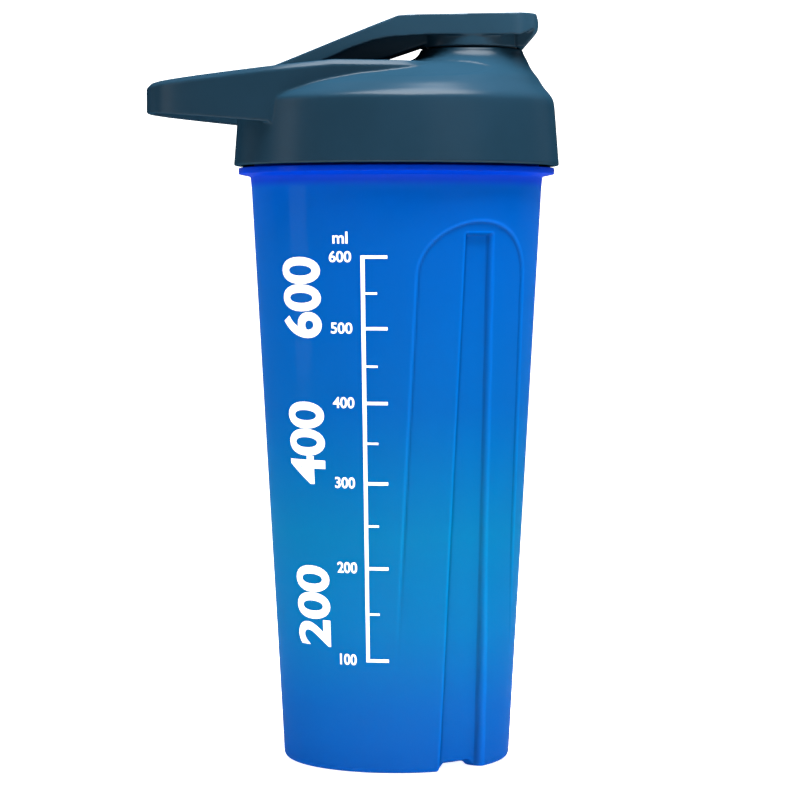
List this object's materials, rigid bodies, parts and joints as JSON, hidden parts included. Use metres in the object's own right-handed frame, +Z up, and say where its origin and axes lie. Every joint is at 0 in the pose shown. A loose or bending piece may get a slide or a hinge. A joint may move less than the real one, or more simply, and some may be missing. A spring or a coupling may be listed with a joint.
{
  "type": "protein shaker bottle",
  "caption": "Tapered translucent shaker cup with fluted grips, threaded lid with a moulded carry loop, offset drinking spout and a hinged flip cap.",
  "frame": {"origin": "centre of the cup's foot, on the surface it stands on", "axes": "+Z up along the bottle's axis, +X towards the drinking spout, -X towards the carry loop"},
  "size_m": [0.1232, 0.0972, 0.2221],
  "materials": {
    "cup_plastic": "translucent blue polypropylene, smooth gloss",
    "lid_plastic": "dark teal polypropylene, satin gloss",
    "silicone": "matt silicone",
    "grid_plastic": "satin moulded"
  },
  "bodies": {
    "cup": {"bottle_cup": "cup_plastic"},
    "gasket": {"lid_gasket": "silicone"},
    "lid": {"lid_shell": "lid_plastic", "hinge_pin": "lid_plastic"},
    "grid": {"mixing_grid": "grid_plastic"},
    "cap": {"flip_cap": "lid_plastic", "spout_plug": "silicone"}
  },
  "joints": [
    {"name": "lid_lift", "type": "slide", "parent": "cup", "child": "gasket", "axis": [0, 0, 1], "range_m": [0, 0.024]},
    {"name": "lid_turn", "type": "hinge", "parent": "gasket", "child": "lid", "pos_m": [0, 0, 0.194], "axis": [0, 0, 1], "range_deg": [0, 720]},
    {"name": "cap_flip", "type": "hinge", "parent": "lid", "child": "cap", "pos_m": [-0.0425, 0, 0.20145], "axis": [0, -1, 0], "range_deg": [0, 145]},
    {"name": "grid_pull", "type": "slide", "parent": "lid", "child": "grid", "axis": [0, 0, 1], "range_m": [-0.012, 0]}
  ],
  "couplings": [
    {"joint": "lid_lift", "follows": "lid_turn", "m_per_rad": 0.0019099}
  ]
}
